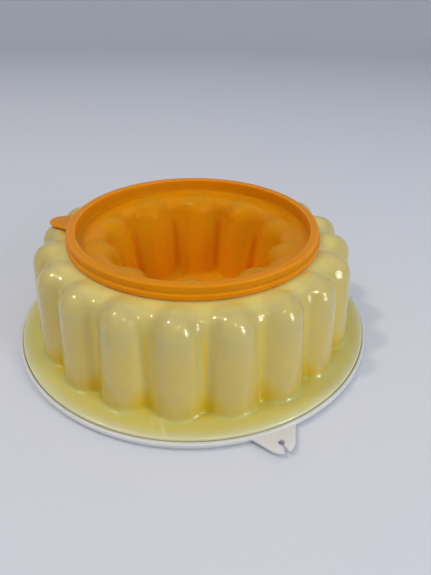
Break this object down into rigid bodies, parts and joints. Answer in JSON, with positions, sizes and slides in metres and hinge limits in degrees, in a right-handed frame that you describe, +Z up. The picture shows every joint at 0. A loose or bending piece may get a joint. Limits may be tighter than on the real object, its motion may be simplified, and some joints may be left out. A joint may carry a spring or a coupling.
{
  "type": "ring mould",
  "caption": "Fluted ring mould for set desserts, standing on a round tray, with a press-on core seal that has a fluted well.",
  "frame": {"origin": "middle of the tray's underside, on the surface it stands on", "axes": "+Z up along the mould's axis, out of the core seal's well; -Y towards the side that the picture shows in front"},
  "size_m": [0.2406, 0.2465, 0.0738],
  "materials": {
    "mould_plastic": "glossy translucent yellow polyethylene",
    "seal_plastic": "satin translucent orange polyethylene",
    "tray_plastic": "satin milky white polyethylene"
  },
  "bodies": {
    "tray": {"serving_tray": "tray_plastic"},
    "mould": {"ring_mould": "mould_plastic"},
    "seal": {"core_seal": "seal_plastic"}
  },
  "joints": [
    {"name": "mould_lift", "type": "slide", "parent": "tray", "child": "mould", "axis": [0, 0, 1], "range_m": [0, 0.08]},
    {"name": "seal_lift", "type": "slide", "parent": "mould", "child": "seal", "axis": [0, 0, 1], "range_m": [0, 0.08]}
  ]
}
